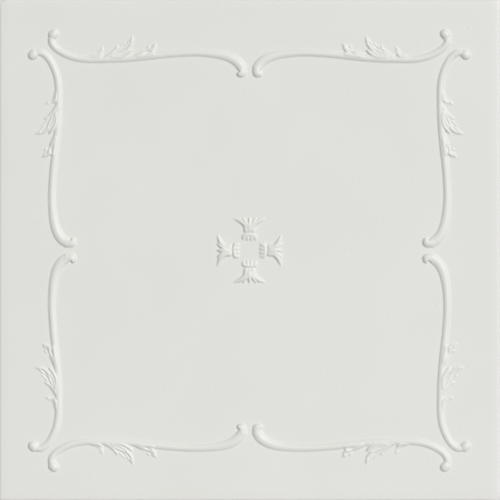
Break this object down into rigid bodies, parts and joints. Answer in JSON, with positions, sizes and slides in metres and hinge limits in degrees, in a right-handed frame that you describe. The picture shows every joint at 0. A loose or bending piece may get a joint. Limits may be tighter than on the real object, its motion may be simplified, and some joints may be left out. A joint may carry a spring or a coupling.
{
  "type": "foam ceiling tile",
  "caption": "Square white foam tile with a raised frame of leafy scrolls and a small cross of palmettes on its face, flat on the back to be glued to a ceiling.",
  "frame": {"origin": "middle of the flat back, which is the glue side", "axes": "+Z out of the decorated face, +X and +Y square to two of the edges"},
  "size_m": [0.5, 0.5, 0.0094],
  "materials": {
    "foam": "satin"
  },
  "bodies": {
    "root": {"ceiling_tile": "foam"}
  },
  "joints": []
}
